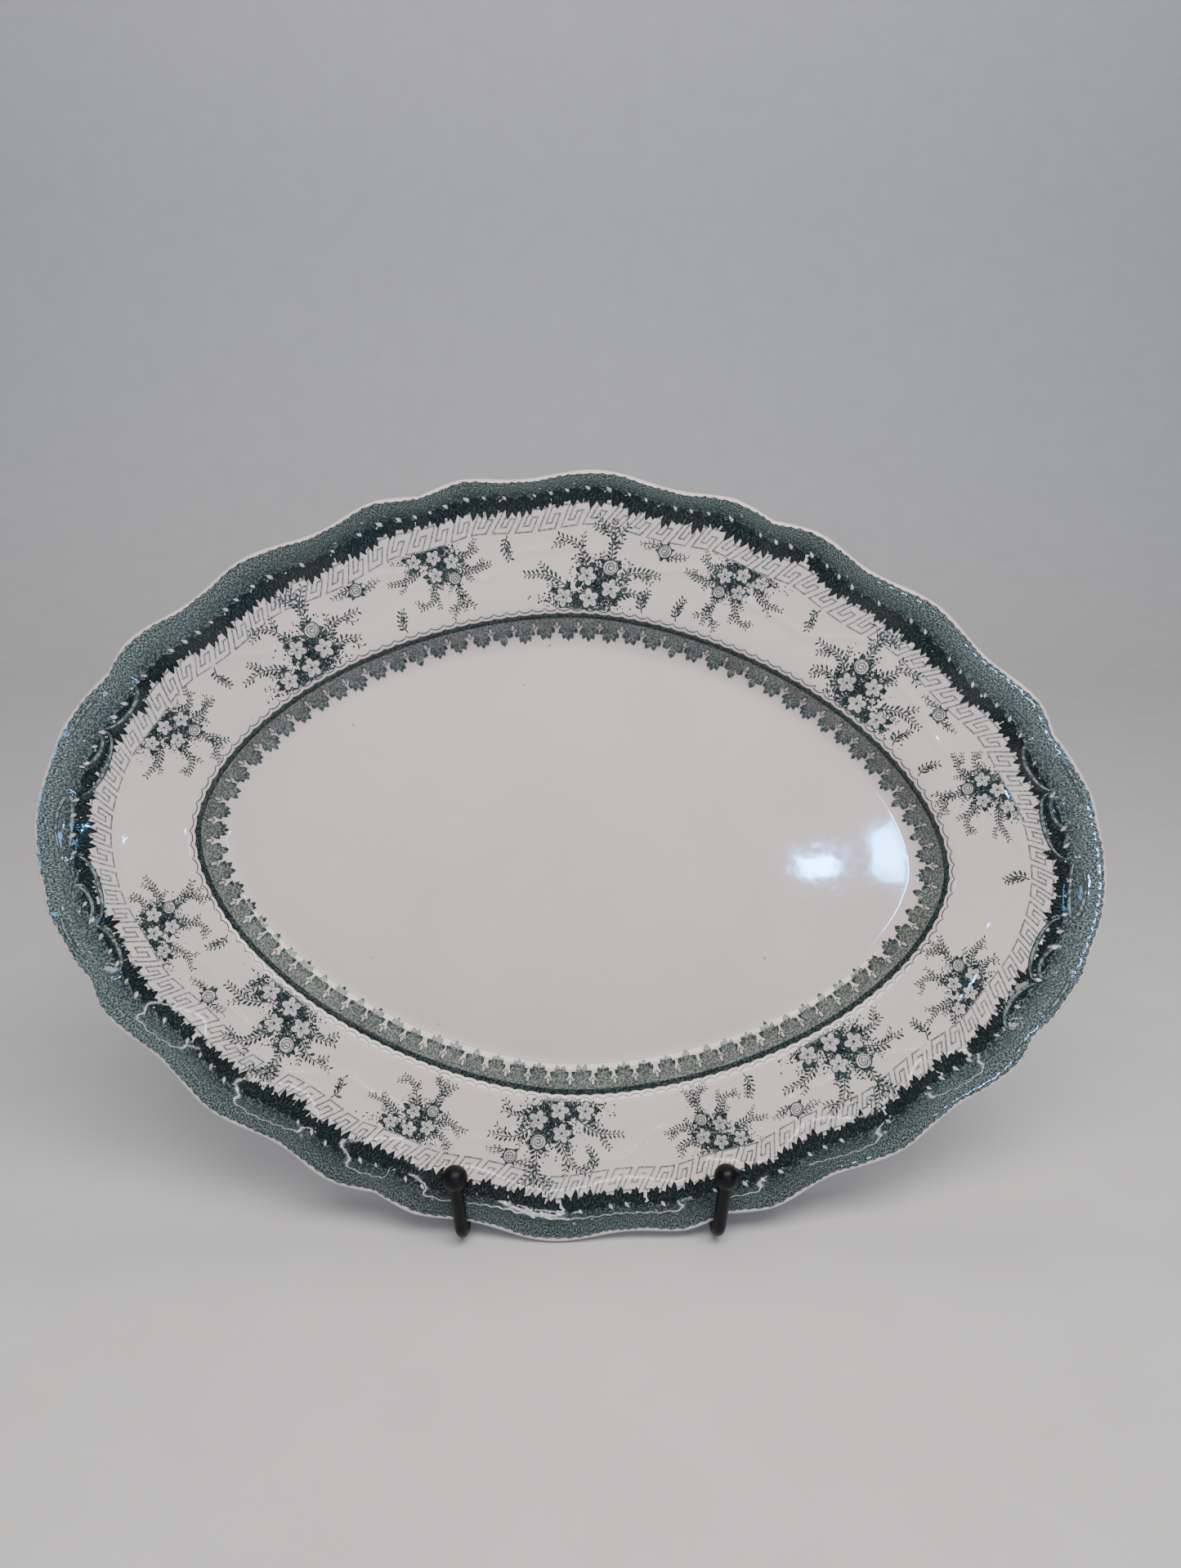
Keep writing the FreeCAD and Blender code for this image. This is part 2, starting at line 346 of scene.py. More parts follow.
def distance_to_line(x, y, line):
    """Least distance from points to a polyline."""
    best = np.full(x.shape, np.inf)
    for (ax, ay), (bx, by) in zip(line, line[1:]):
        dx = bx - ax
        dy = by - ay
        share = np.clip(((x - ax) * dx + (y - ay) * dy) / (dx * dx + dy * dy), 0, 1)
        best = np.minimum(best, np.hypot(x - ax - share * dx, y - ay - share * dy))
    return best


def relief(x, y):
    """Height of the moulded relief above the plain front surface."""
    angles = polar(x, y)[0]
    place = unified_place(x, y)
    swing = sum(size * np.sin(np.radians(angles) * waves + phase) for size, waves, phase in BEAD_SWINGS)
    bead_distance = (place - BEAD_PLACE - swing) * FLANGE_SPAN / BEAD_WIDTH
    height = BEAD_HEIGHT * np.exp(-0.5 * bead_distance ** 2)
    along = RIM.at_angle(angles)
    fade_in = np.clip((place - FLUTE_START) / FLUTE_FADE_IN, 0, 1)
    fade_out = np.clip((FLUTE_END - place) / FLUTE_FADE_OUT, 0, 1)
    height += FLUTE_HEIGHT * np.cos(along * 2 * np.pi / FLUTE_PITCH) * (fade_in * fade_out)
    for side, scrolls in zip((1, -1), SCROLLS):
        near = (place > SCROLL_START) & (side * x > SCROLL_X)
        scroll = np.zeros(int(near.sum()))
        for line in scrolls:
            distance = distance_to_line(x[near], y[near], line)
            scroll = np.maximum(scroll, SCROLL_HEIGHT * np.exp(-0.5 * (distance / SCROLL_WIDTH) ** 2))
        height[near] += scroll
    return height


def front_height(x, y):
    """Height of the glazed front above the well floor at plan points inside the lip."""
    place = unified_place(x, y)
    moulded = np.where(place > RELIEF_START, relief(x, y), 0)
    return profile_height(FRONT_KNOTS, FRONT_HEIGHTS, place) + moulded


# ---------------------------------------------------------------- placing in the frame

def well_floor():
    """Centre of the well floor, in metres, and its normal."""
    mount = next(mount for mount in frame["record"]["mounts"] if mount["name"] == "well_floor")
    return Vector(mount["pos_m"]), Vector(mount["axis"]).normalized()


def platter_frame():
    """Matrix from the platter's plan in millimetres to the row frame in metres."""
    centre, normal = well_floor()
    lift = next(joint for joint in frame["joints"] if joint["name"] == "platter_lift")
    up = Vector(lift["axis"]).normalized()
    across = up.cross(normal).normalized()
    turn = Matrix.Rotation(math.radians(ROLL), 3, normal)
    columns = [turn @ across, turn @ up, normal]
    matrix = Matrix.Identity(4)
    for column, direction in enumerate(columns):
        for row in range(3):
            matrix[row][column] = direction[row] * MM
    matrix.translation = centre
    return matrix


PLATTER_MATRIX = platter_frame()


def to_frame(points):
    """Platter points in millimetres as row-frame points in metres."""
    matrix = np.array(PLATTER_MATRIX)
    return points @ matrix[:3, :3].T + matrix[:3, 3]


def new_object(name, points, faces):
    """Smooth mesh object from an array of points and a list of faces."""
    mesh = bpy.data.meshes.new(name)
    mesh.from_pydata([tuple(point) for point in points], [], faces)
    mesh.update()
    mesh.shade_smooth()
    made = bpy.data.objects.new(name, mesh)
    bpy.context.collection.objects.link(made)
    return made


def ring_quads(low, high, size):
    """Faces between two closed rings, each given by the number of its first point."""
    steps = [(column, (column + 1) % size) for column in range(size)]
    return [(low + left, high + left, high + right, low + right) for left, right in steps]


# ---------------------------------------------------------------- the china body

COLUMNS = 720
COLUMN_ANGLES = np.arange(COLUMNS) * 360 / COLUMNS
WELL_SHARES = (0.25, 0.5, 0.75, 0.93)
RECESS_SHARES = (0.9, 0.5, 0.25)


def curve_rows(knots, heights, places):
    """Places on a profile curve, each with its height."""
    return list(zip(places, profile_height(knots, heights, flange_scale(places))))


def front_rows():
    """Places and heights up the well wall and out over the flange."""
    wall = curve_rows(FRONT_KNOTS, FRONT_HEIGHTS, np.linspace(WALL_FOOT, 0.0, 19))
    flange = curve_rows(FRONT_KNOTS, FRONT_HEIGHTS, np.linspace(0.0, LIP_START, 56)[1:])
    return wall + flange


def back_rows():
    """Places and heights over the lip, down the back and round the foot ring."""
    back = curve_rows(BACK_KNOTS, BACK_HEIGHTS, np.linspace(LIP_START, 0.0, 19))
    under = curve_rows(BACK_KNOTS, BACK_HEIGHTS, np.linspace(0.0, UNDERSIDE_END, 8)[1:])
    return list(LIP_PROFILE[1:-1]) + back + under + list(FOOT_PROFILE)


def china_ring(radius, height):
    """Ring of points at polar radii and one height."""
    x = radius * np.cos(np.radians(COLUMN_ANGLES))
    y = radius * np.sin(np.radians(COLUMN_ANGLES))
    return np.stack([x, y, np.full(COLUMNS, float(height))], 1)


def china_rings():
    """Rings of the china from inside the well, over the lip and back to the recess."""
    floor_edge = place_radius(COLUMN_ANGLES, WALL_FOOT)
    rings = [china_ring(floor_edge * share, 0) for share in WELL_SHARES]
    for place, height in front_rows():
        ring = china_ring(place_radius(COLUMN_ANGLES, place), height)
        if place > RELIEF_START:
            ring[:, 2] += relief(ring[:, 0], ring[:, 1])
        rings.append(ring)
    rings += [china_ring(place_radius(COLUMN_ANGLES, place), height) for place, height in back_rows()]
    recess_edge = place_radius(COLUMN_ANGLES, RECESS_PLACE)
    return rings + [china_ring(recess_edge * share, RECESS_HEIGHT) for share in RECESS_SHARES]


def make_china():
    """One closed skin: front, lip, back and foot ring."""
    rings = china_rings()
    points = np.concatenate(rings + [[[0, 0, 0], [0, 0, RECESS_HEIGHT]]])
    top_centre = len(points) - 2
    bottom_centre = len(points) - 1
    last = (len(rings) - 1) * COLUMNS
    faces = []
    for row in range(len(rings) - 1):
        faces += ring_quads(row * COLUMNS, (row + 1) * COLUMNS, COLUMNS)
    for column in range(COLUMNS):
        right = (column + 1) % COLUMNS
        faces.append((top_centre, column, right))
        faces.append((bottom_centre, last + right, last + column))
    return new_object("china_platter", to_frame(points), faces)


# ---------------------------------------------------------------- printed shapes

# Layers of print, lowest first, as millimetres above the glaze.
GROUND_LAYER = 0.06
SHAPE_LAYER = 0.11
RIM_LAYER = 0.15
WHITE_LAYER = 0.19
DETAIL_LAYER = 0.24


def surface_normals(x, y):
    """Normals of the front surface."""
    step = 0.3
    slope_x = (front_height(x + step, y) - front_height(x - step, y)) / (2 * step)
    slope_y = (front_height(x, y + step) - front_height(x, y - step)) / (2 * step)
    normals = np.stack([-slope_x, -slope_y, np.ones_like(x)], 1)
    return normals / np.linalg.norm(normals, axis=1)[:, None]


def directions(line):
    """Unit vectors ahead along a line and to the left of it, at each of its points."""
    ahead = np.gradient(line, axis=0)
    ahead /= np.maximum(np.linalg.norm(ahead, axis=1), 1e-9)[:, None]
    return ahead, np.stack([-ahead[:, 1], ahead[:, 0]], 1)


class Sheet:
    """Printed shapes of one colour, gathered in plan and laid on the glaze as one mesh."""

    def __init__(self, name, lift):
        """Lift is the sheet's height above the glaze in millimetres."""
        self.name = name
        self.lift = lift
        self.points = []
        self.faces = []
        self.strip_marks = []
        self.count = 0

    def add(self, points, faces, marks=None):
        """Adds plan points and their faces, with strip coordinates where a material reads them."""
        self.points.append(points)
        self.strip_marks.append(np.zeros((len(points), 2)) if marks is None else marks)
        start = self.count
        self.faces.extend(tuple(start + index for index in face) for face in faces)
        self.count += len(points)

    def patch(self, outline, rings=2):
        """Filled shape that its middle can see the whole edge of."""
        outline = np.asarray(outline, float)
        following = np.roll(outline, -1, 0)
        area = (outline[:, 0] * following[:, 1] - outline[:, 1] * following[:, 0]).sum()
        if area < 0:
            outline = outline[::-1]
        middle = outline.mean(0)
        size = len(outline)
        shares = [(ring + 1) / rings for ring in range(rings)]
        points = [middle[None]] + [middle + (outline - middle) * share for share in shares]
        faces = [(0, 1 + index, 1 + (index + 1) % size) for index in range(size)]
        for ring in range(rings - 1):
            faces += ring_quads(1 + ring * size, 1 + (ring + 1) * size, size)
        self.add(np.concatenate(points), faces)

    def ribbon(self, line, widths):
        """Smooth line of varying width."""
        half = np.broadcast_to(np.asarray(widths, float) / 2, (len(line),))[:, None]
        side = directions(line)[1] * half
        size = len(line)
        faces = [(size + index, size + index + 1, index + 1, index) for index in range(size - 1)]
        self.add(np.concatenate([line + side, line - side]), faces)

    def strip(self, border, along, inward):
        """Closed band round a border: one row of inward distances for each edge."""
        rows, columns = inward.shape
        along = np.broadcast_to(along, inward.shape)
        points = border.plan(along.ravel(), inward.ravel())
        faces = []
        for row in range(rows - 1):
            low = row * columns
            high = low + columns
            for column in range(columns):
                right = (column + 1) % columns
                faces.append((low + column, low + right, high + right, high + column))
        self.add(points, faces, np.stack([along.ravel(), inward.ravel()], 1))

    def make(self):
        """Lays the gathered shapes on the glaze."""
        points = np.concatenate(self.points)
        x, y = points.T
        base = np.stack([x, y, front_height(x, y)], 1)
        made = new_object(self.name, to_frame(base + surface_normals(x, y) * self.lift), self.faces)
        strip = made.data.attributes.new("strip", "FLOAT_VECTOR", "POINT")
        marks = np.concatenate(self.strip_marks)
        strip.data.foreach_set("vector", np.column_stack([marks, np.zeros(len(marks))]).ravel())
        return made


BAND = Sheet("print_rim_band", GROUND_LAYER)
GROUND = Sheet("print_spray_ground", GROUND_LAYER)
FRINGE = Sheet("print_well_fringe", GROUND_LAYER)
LEAVES = Sheet("print_rim_leaves", SHAPE_LAYER)
KEY = Sheet("print_key", GROUND_LAYER)
WELL_LINE = Sheet("print_well_line", SHAPE_LAYER)
TWIGS = Sheet("print_twigs", SHAPE_LAYER)
FRINGE_EDGES = Sheet("print_fringe_edges", RIM_LAYER)
OUTLINES = Sheet("print_outlines", RIM_LAYER)
WHITES = Sheet("print_whites", WHITE_LAYER)
PALE = Sheet("print_pale_scrolls", WHITE_LAYER)
DETAILS = Sheet("print_details", DETAIL_LAYER)
SHEETS = (BAND, GROUND, FRINGE, LEAVES, KEY, WELL_LINE, TWIGS, FRINGE_EDGES, OUTLINES, WHITES, PALE, DETAILS)


def leaf(base, tip, width, belly=0.45, stations=7):
    """Outline of a pointed leaf, widest at the belly's share of its length."""
    base = np.asarray(base, float)
    axis = np.asarray(tip, float) - base
    side = np.array([-axis[1], axis[0]]) / np.linalg.norm(axis)
    share = np.linspace(0, 1, stations)
    half = width / 2 * np.sin(np.pi * share ** (math.log(0.5) / math.log(belly)))
    right = base + axis * share[:, None] - side * half[:, None]
    left = base + axis * share[:, None] + side * half[:, None]
    return np.concatenate([right, left[-2:0:-1]])


def oval(centre, radii, turn=0.0, count=12):
    """Outline of an ellipse turned by degrees."""
    angles = np.linspace(0, 2 * np.pi, count, endpoint=False)
    x = radii[0] * np.cos(angles)
    y = radii[1] * np.sin(angles)
    cosine = math.cos(math.radians(turn))
    sine = math.sin(math.radians(turn))
    return np.stack([centre[0] + x * cosine - y * sine, centre[1] + x * sine + y * cosine], 1)


def curve_through(points, step):
    """Smooth line through points, sampled evenly at about a step."""
    points = np.asarray(points, float)
    lengths = np.concatenate([[0], np.cumsum(np.linalg.norm(np.diff(points, axis=0), axis=1))])
    at = np.linspace(0, lengths[-1], max(3, int(lengths[-1] / step) + 1))
    return cubic(lengths, points, np.gradient(points, lengths, axis=0), at)


class Spot:
    """Drawing place with straight axes on the plan: across a border and away from it."""

    def __init__(self, border, along, inward, outward, size=1.0, flip=1):
        """Outward spots grow towards the lip, and a flip of minus one mirrors the drawing."""
        self.origin = border.plan(along, inward)
        ahead = border.plan(along + 1, inward) - border.plan(along - 1, inward)
        self.across = ahead / np.linalg.norm(ahead) * size * flip
        away = np.array([ahead[1], -ahead[0]]) / np.linalg.norm(ahead) * size
        self.away = away if outward else -away

    def plan(self, points):
        """Plan points of points drawn in the spot's own millimetres."""
        points = np.asarray(points, float)
        return self.origin + points[..., :1] * self.across + points[..., 1:] * self.away


# ---------------------------------------------------------------- rim band and Greek key

BAND_OUTER = 1.5
BAND_INNER = 14.4
LEAF_ROOT = 13.2
LEAF_LEAN = 14.0
LEAF_SPREAD = 52.0
LEAF_COUNT = 152
KEY_UNITS = 114
KEY_OUTER = 17.6
KEY_INNER = 24.2
KEY_SLANT = -4.0
KEY_LINE_WIDTH = 0.5
KEY_STATION = 1.6

# How far the rim's print sits nearer the lip than at its own measure: everywhere, more along
# the long sides, and more at the top than at the bottom.
PRINT_SHIFT = 1.3
LONG_SIDE_SHIFT = 4.6
TOP_SHIFT = 1.45

# One unit of the key as shares of its own width and height, in sevenths and sixths.
KEY_WIDE = 7
KEY_HIGH = 6
KEY_PATH = (
    (0.0, 6.0),
    (4.4, 6.0),
    (4.4, 1.7),
    (2.7, 1.7),
    (2.7, 3.9),
    (1.0, 3.9),
    (1.0, 0.0),
    (6.0, 0.0),
    (6.0, 6.0),
    (7.0, 6.0),
)


class RimPrint(Border):
    """The rim's border, with the print drawn in towards the lip along the long sides."""

    def plan(self, along, inward):
        """Plan points of the print; the shift grows from nothing at the band's outer edge."""
        angles = np.interp(np.mod(along, self.length), self.along, CLOSED_ANGLES)
        rise = np.sin(np.radians(angles))
        shift = PRINT_SHIFT + LONG_SIDE_SHIFT * np.abs(rise) ** 1.5 + TOP_SHIFT * rise * np.abs(rise)
        inward = np.asarray(inward, float)
        share = np.clip((inward - BAND_OUTER) / (LEAF_ROOT - BAND_OUTER), 0, 1)
        return super().plan(along, inward - shift * share)


PRINT = RimPrint(RIM_RADIUS, RIM_SOFTNESS, RIM_REFERENCE)


def draw_band():
    """Stippled ground of the rim border."""
    columns = LEAF_COUNT * 8
    along = np.arange(columns) * PRINT.length / columns
    phase = along * 2 * np.pi * LEAF_COUNT / PRINT.length
    outer = BAND_OUTER + 0.25 * np.sin(phase * 2) + 0.2 * np.sin(phase * 0.37)
    inner = BAND_INNER + 0.7 * np.cos(phase)
    shares = np.linspace(0, 1, 13)[:, None]
    BAND.strip(PRINT, along, outer * (1 - shares) + inner * shares)


def draw_rim_leaf(along, reach):
    """One broad leaf of the inner fringe: pointed lobes fanned from its root."""
    root = np.array([along, LEAF_ROOT])
    for share in (-1, -0.5, 0, 0.5, 1):
        angle = math.radians(LEAF_SPREAD * share + LEAF_LEAN + dice.uniform(-6, 6))
        tip = root + np.array([math.sin(angle), math.cos(angle)]) * reach * (1 - 0.2 * abs(share))
        LEAVES.patch(PRINT.plan(*leaf(root, tip, 2.2, 0.56).T))
        vein = np.linspace(root + (tip - root) * 0.3, tip - (tip - root) * 0.2, 4)
        DETAILS.ribbon(PRINT.plan(*vein.T), np.linspace(0.18, 0.06, 4))


def draw_drop(sheet, along, inward, length):
    """Pale teardrop with a dark rim, its tail outwards."""
    lean = np.array([length * 0.3, -length * 0.5])
    tail = np.array([along, inward]) + lean
    head = np.array([along, inward]) - lean
    swell = (head - tail) * 0.14
    OUTLINES.patch(PRINT.plan(*leaf(tail - swell, head + swell, length * 0.5 + 0.5, 0.62).T))
    sheet.patch(PRINT.plan(*leaf(tail, head, length * 0.5, 0.62).T))


def draw_rim_fringe():
    """Leaves hanging inwards from the band, with teardrops between their roots."""
    pitch = PRINT.length / LEAF_COUNT
    for unit in range(LEAF_COUNT):
        middle = unit * pitch + dice.uniform(-0.6, 0.6)
        draw_rim_leaf(middle, dice.uniform(4.8, 7.6))
        if dice.random() < 0.7:
            draw_drop(WHITES, middle + pitch * 0.5, LEAF_ROOT - 0.2, dice.uniform(1.7, 2.5))
        if dice.random() < 0.35:
            draw_drop(PALE, middle + pitch * 0.1, dice.uniform(8.0, 10.6), dice.uniform(1.2, 1.9))


def draw_key():
    """Greek key line, one continuous thin stroke."""
    pitch = PRINT.length / KEY_UNITS
    depth = KEY_INNER - KEY_OUTER
    for unit in range(KEY_UNITS):
        for (x1, y1), (x2, y2) in zip(KEY_PATH, KEY_PATH[1:]):
            count = 2 + int(max(abs(x2 - x1), abs(y2 - y1)) / KEY_STATION)
            x = np.linspace(x1, x2, count)
            y = np.linspace(y1, y2, count)
            slant = (y / KEY_HIGH - 0.5) * KEY_SLANT
            along = (unit + x / KEY_WIDE) * pitch + slant
            line = PRINT.plan(along, KEY_INNER - y / KEY_HIGH * depth)
            reach = (line[-1] - line[0]) / np.linalg.norm(line[-1] - line[0]) * KEY_LINE_WIDTH / 2
            line[0] -= reach
            line[-1] += reach
            KEY.ribbon(line, KEY_LINE_WIDTH * (1 + 0.12 * math.sin(unit * 1.7 + x1)))


def draw_cartouches():
    """Pale scrolls over the band at both ends, shaded by a dark line."""
    for scrolls in SCROLLS:
        for line in scrolls:
            fine = curve_through(line, 0.9)
            taper = np.sin(np.pi * np.linspace(0.12, 0.93, len(fine)))
            OUTLINES.ribbon(fine, 1.5 * taper)
            PALE.ribbon(fine, 0.8 * taper)


# ---------------------------------------------------------------- well line and fringe

SCALLOPS = 150
PALMETTES = 84
PALMETTE_ROOT = 2.6
PALMETTE_SPREAD = 56.0
PALMETTE_NARROWING = 0.88
PALMETTE_LOBES = (3, 4, 5, 5)


def scallop(along):
    """Height of the scallops, cusps outwards, as a share."""
    return 1 - np.abs(np.sin(along * np.pi * SCALLOPS / WELL.length)) ** 0.7


def draw_well_line():
    """Scalloped dark line at the well's edge and the thin line outside it."""
    columns = SCALLOPS * 8
    along = np.arange(columns) * WELL.length / columns
    cusp = scallop(along)
    level = np.zeros(columns)
    WELL_LINE.strip(WELL, along, np.stack([-0.6 - 0.4 * cusp, level - 0.3, level + 0.2, level + 0.7]))
    WELL_LINE.strip(WELL, along, np.stack([-1.6 - 0.9 * cusp, -1.32 - 0.9 * cusp]))


def draw_palmette(along, pitch):
    """One group of pointed lobes reaching into the well, their edges and tips darker."""
    lobes = dice.choice(PALMETTE_LOBES)
    reach = dice.uniform(4.6, 5.5)
    root = np.array([along, PALMETTE_ROOT])
    FRINGE.patch(WELL.plan(*oval(root + (0, 0.5), (pitch * 0.33, 1.7)).T))
    for lobe in range(lobes):
        share = (lobe - (lobes - 1) / 2) / ((lobes - 1) / 2)
        angle = math.radians(PALMETTE_SPREAD * share + dice.uniform(-5, 5))
        direction = np.array([math.sin(angle) * PALMETTE_NARROWING, math.cos(angle)])
        tip = root + direction * reach * (1 - 0.12 * abs(share))
        base = root + direction * 0.2
        outline = leaf(base, tip, 8.8 / (lobes + 0.6), 0.64)
        FRINGE.patch(WELL.plan(*outline.T))
        round_tip = outline[3:10]
        FRINGE_EDGES.ribbon(WELL.plan(*round_tip.T), (0.12, 0.24, 0.34, 0.42, 0.34, 0.24, 0.12))
        FRINGE_EDGES.patch(WELL.plan(*leaf(base + (tip - base) * 0.7, tip, 0.95, 0.35, 5).T), 1)


def draw_well_fringe():
    """Stippled green palmettes inside the well line, with white ovals between them."""
    columns = PALMETTES * 8
    along = np.arange(columns) * WELL.length / columns
    wave = np.abs(np.cos(along * np.pi * PALMETTES / WELL.length))
    level = np.zeros(columns)
    FRINGE.strip(WELL, along, np.stack([level + 0.6, level + 1.4, 2.2 + 0.2 * wave, 2.6 + 0.9 * wave]))
    pitch = WELL.length / PALMETTES
    for unit in range(PALMETTES):
        middle = unit * pitch + dice.uniform(-0.3, 0.3)
        draw_palmette(middle, pitch)
        between = (middle + pitch / 2, 2.5)
        OUTLINES.patch(WELL.plan(*oval(between, (0.8, 1.1)).T), 1)
        WHITES.patch(WELL.plan(*oval(between, (0.52, 0.8)).T), 1)


# ---------------------------------------------------------------- flower sprays

def pointing(degrees):
    """Unit vector at an angle."""
    return np.array([math.cos(math.radians(degrees)), math.sin(math.radians(degrees))])


def draw_flower(spot, centre, size, turn):
    """Five white petals with dark edges round a dark heart."""
    radius = size / 2
    for petal in range(5):
        angle = turn + petal * 72 + dice.uniform(-5, 5)
        direction = pointing(angle)
        middle = np.asarray(centre) + direction * radius * 0.56
        grown = oval(middle, (radius * 0.44 + 0.25, radius * 0.34 + 0.25), angle)
        OUTLINES.patch(spot.plan(grown))
        WHITES.patch(spot.plan(oval(middle, (radius * 0.44, radius * 0.33), angle)))
        vein = np.linspace(np.asarray(centre) + direction * radius * 0.25, middle, 3)
        DETAILS.ribbon(spot.plan(vein), (0.22, 0.14, 0.05))
    DETAILS.patch(spot.plan(oval(centre, (radius * 0.15, radius * 0.15), 0, 8)), 1)


def draw_rose(spot, centre, size):
    """Small swirled rose."""
    radius = size / 2
    OUTLINES.patch(spot.plan(oval(centre, (radius + 0.35, radius + 0.25), 20)))
    WHITES.patch(spot.plan(oval(centre, (radius, radius * 0.92), 20)))
    turns = np.linspace(0, 4.2 * np.pi, 34)
    swirl = np.stack([np.cos(turns), np.sin(turns)], 1) * np.linspace(0.12, 0.86, 34)[:, None] * radius
    DETAILS.ribbon(spot.plan(np.asarray(centre) + swirl), 0.28)
    for angle in (200, 255, 310):
        tip = np.asarray(centre) + (radius + 1.5) * pointing(angle)
        TWIGS.patch(spot.plan(leaf(centre, tip, 1.3)), 1)


def draw_leaflets(spot, line, leaflet):
    """Tiny leaves on both sides of a stem, shorter towards its tip, a few of them missing."""
    ahead, across = directions(line)
    for index in range(1, len(line)):
        for side in (-1, 1):
            if dice.random() < 0.06:
                continue
            length = leaflet * (1.1 - 0.5 * index / len(line)) * dice.uniform(0.8, 1.2)
            tip = line[index] + (ahead[index] * 0.6 + across[index] * side * 0.8) * length
            TWIGS.patch(spot.plan(leaf(line[index], tip, length * 0.35, 0.6, 5)), 1)


def draw_twig(spot, points, leaflet=2.2):
    """Feathery stem with short side shoots."""
    line = curve_through(points, 1.25)
    TWIGS.ribbon(spot.plan(line), np.linspace(0.4, 0.18, len(line)))
    draw_leaflets(spot, line, leaflet)
    ahead, across = directions(line)
    side = 1
    for index in range(2, len(line) - 2, 4):
        length = dice.uniform(3.4, 5.0)
        bend = line[index] + (ahead[index] * 0.5 + across[index] * side * 0.55) * length * 0.6
        tip = line[index] + (ahead[index] * 0.75 + across[index] * side * 0.65) * length
        shoot = curve_through((line[index], bend, tip), 1.15)
        TWIGS.ribbon(spot.plan(shoot), np.linspace(0.3, 0.14, len(shoot)))
        draw_leaflets(spot, shoot, leaflet * 0.75)
        side = -side


def draw_dots(spot, centre, spread, count):
    """Soft patch of stipple, thickest at its centre."""
    for _ in range(count):
        x = dice.gauss(centre[0], spread[0])
        y = dice.gauss(centre[1], spread[1])
        if y < -0.4:
            continue
        size = dice.uniform(0.16, 0.37)
        GROUND.patch(spot.plan(oval((x, y), (size, size), dice.uniform(0, 72), 5)), 1)


def draw_dark_leaves(spot, centre, reach, count):
    """Dark leaves spreading from behind a flower."""
    for index in range(count):
        angle = index * 2 * math.pi / count + dice.uniform(-0.5, 0.5)
        direction = np.array([math.cos(angle), math.sin(angle)])
        base = np.asarray(centre) + direction * reach * 0.35
        tip = np.asarray(centre) + direction * reach * dice.uniform(0.9, 1.2)
        if min(base[1], tip[1]) > 0:
            GROUND.patch(spot.plan(leaf(base, tip, reach * 0.42, 0.45, 6)), 1)


# The large spray in its own millimetres: stems, flowers with their sizes, and the rose.
SPRAY_TWIGS = (
    ((-1, 9), (-2.4, 13.5), (-6.2, 18.4), (-10.2, 19.6)),
    ((4.5, 9), (5.4, 15), (4.7, 21), (1.0, 25.6)),
    ((4.9, 17.5), (6.6, 20.5), (9.4, 23.4)),
    ((7.5, 8), (12.4, 10.6), (19.4, 10.2)),
    ((-6, 5), (-12.6, 8.4), (-19.4, 8.2)),
    ((6, 3), (11.5, 5.0), (16.0, 3.6)),
)
SPRAY_FLOWERS = (((-8.2, 2.6), 5.5), ((-0.6, 2.8), 5.7), ((-1.6, 9.2), 5.6), ((5.6, 5.8), 5.8))
SPRAY_ROSE = (5.2, 11.9)


def draw_spray(spot):
    """Large spray: flowers on a dark ground with feathery stems."""
    draw_dots(spot, (-3.0, 1.2), (5.0, 1.5), 800)
    draw_dots(spot, (2.0, 6.6), (3.3, 3.2), 1200)
    for points in SPRAY_TWIGS:
        draw_twig(spot, points)
    for centre, size in SPRAY_FLOWERS:
        draw_dark_leaves(spot, centre, size * 0.78, 5)
    for centre, size in SPRAY_FLOWERS:
        draw_flower(spot, centre, size, dice.uniform(0, 72))
    draw_dark_leaves(spot, SPRAY_ROSE, 3.6, 6)
    draw_rose(spot, SPRAY_ROSE, 4.4)


def draw_rosebud(spot):
    """Rose on two short twigs."""
    draw_twig(spot, ((0, 0), (-3.5, 1.5), (-8, 0.5)), 1.5)
    draw_twig(spot, ((0, 0), (3.5, -1.5), (8, -1.0)), 1.5)
    draw_dark_leaves(spot, (0, 0), 3.4, 6)
    draw_rose(spot, (0, 0), 4.2)


def draw_sprig(spot):
    """Short lone twig."""
    draw_twig(spot, ((0, 0.6), (1.12, 4.0), (-0.4, 8.0)))


# Where the sprays, buds and sprigs stand, as polar angles in degrees. Those on the line grow
# outwards from the well, and the others inwards from the key.
SPRAYS_ON_LINE = (90, 31, 149, 211, 270, 329)
SPRAYS_ON_KEY = (117, 64, 163, 16, 197, 244, 298, 342)
ROSEBUDS = (131, 78, 29, 209, 261, 312)
SPRIGS_ON_KEY = (104, 50, 152, 230, 278, 332, 1)
SPRIGS_ON_LINE = (131, 196, 204, 78, 70, 22, 16, 312)

# Their sizes, and the places that they grow from, as millimetres inside the well line.
LINE_SPRAY_SIZE = 1.14
KEY_SPRAY_SIZE = 0.88
SPRAY_PLACE = -2.4
SPRIG_PLACE = -2.6


